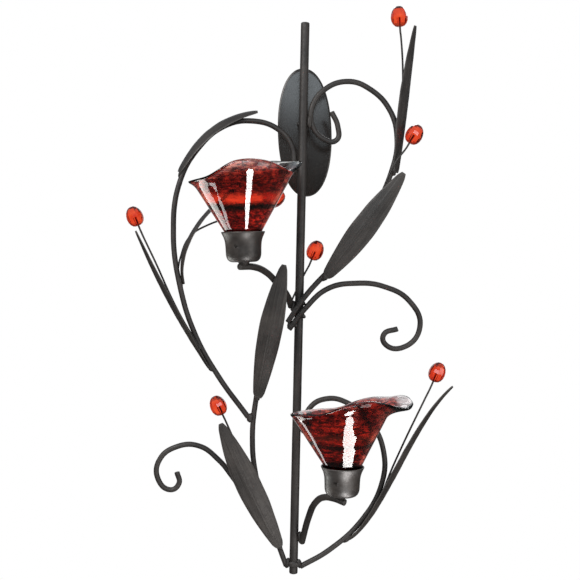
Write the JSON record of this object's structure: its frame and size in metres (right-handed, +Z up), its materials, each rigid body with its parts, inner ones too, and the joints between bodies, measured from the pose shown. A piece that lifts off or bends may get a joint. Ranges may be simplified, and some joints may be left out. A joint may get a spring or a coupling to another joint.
{
  "type": "votive candle rack",
  "caption": "Wall-hung candle rack: welded dark rods and creased metal leaves climb a stem and carry red glass lily cups in bell sockets, with amber drops on wires.",
  "frame": {"origin": "centre of the wall plate's flat back, on the wall", "axes": "+Z up along the stem, +Y into the wall, so the rack's front faces -Y, and +X to the viewer's right"},
  "size_m": [0.3075, 0.142, 0.5295],
  "materials": {
    "iron_paint": "dark brown-black textured satin paint",
    "ruby_glass": "glossy, mottled red and black cased in clear",
    "amber_drop": "clear glossy, orange-red"
  },
  "bodies": {
    "welded_frame": {"center_stem": "iron_paint", "wall_plate": "iron_paint", "plate_standoff": "iron_paint", "left_leaf_stem": "iron_paint", "left_lower_scroll": "iron_paint", "left_upper_scroll": "iron_paint", "right_upper_scroll": "iron_paint", "right_middle_scroll": "iron_paint", "right_lower_scroll": "iron_paint", "upper_cup_arm": "iron_paint", "lower_cup_arm": "iron_paint", "lower_left_leaf": "iron_paint", "middle_left_leaf": "iron_paint", "outer_left_leaf": "iron_paint", "upper_left_leaf": "iron_paint", "inner_left_leaf": "iron_paint", "middle_right_leaf": "iron_paint", "upper_right_leaf": "iron_paint", "outer_right_leaf": "iron_paint", "upper_socket": "iron_paint", "lower_socket": "iron_paint", "top_right_wire": "iron_paint", "right_wire": "iron_paint", "centre_wire": "iron_paint", "behind_cup_wire": "iron_paint", "outer_left_wire": "iron_paint", "lower_left_wire": "iron_paint", "outer_right_wire": "iron_paint", "top_right_berry": "amber_drop", "right_berry": "amber_drop", "centre_berry": "amber_drop", "behind_cup_berry": "amber_drop", "outer_left_berry": "amber_drop", "lower_left_berry": "amber_drop", "outer_right_berry": "amber_drop"},
    "upper_cup": {"upper_glass": "ruby_glass"},
    "lower_cup": {"lower_glass": "ruby_glass"}
  },
  "joints": [
    {"name": "upper_glass_lift", "type": "slide", "parent": "welded_frame", "child": "upper_cup", "axis": [-0.0436, 0, 0.999], "range_m": [0, 0.06]},
    {"name": "lower_glass_lift", "type": "slide", "parent": "welded_frame", "child": "lower_cup", "axis": [0, 0, 1], "range_m": [0, 0.06]}
  ]
}
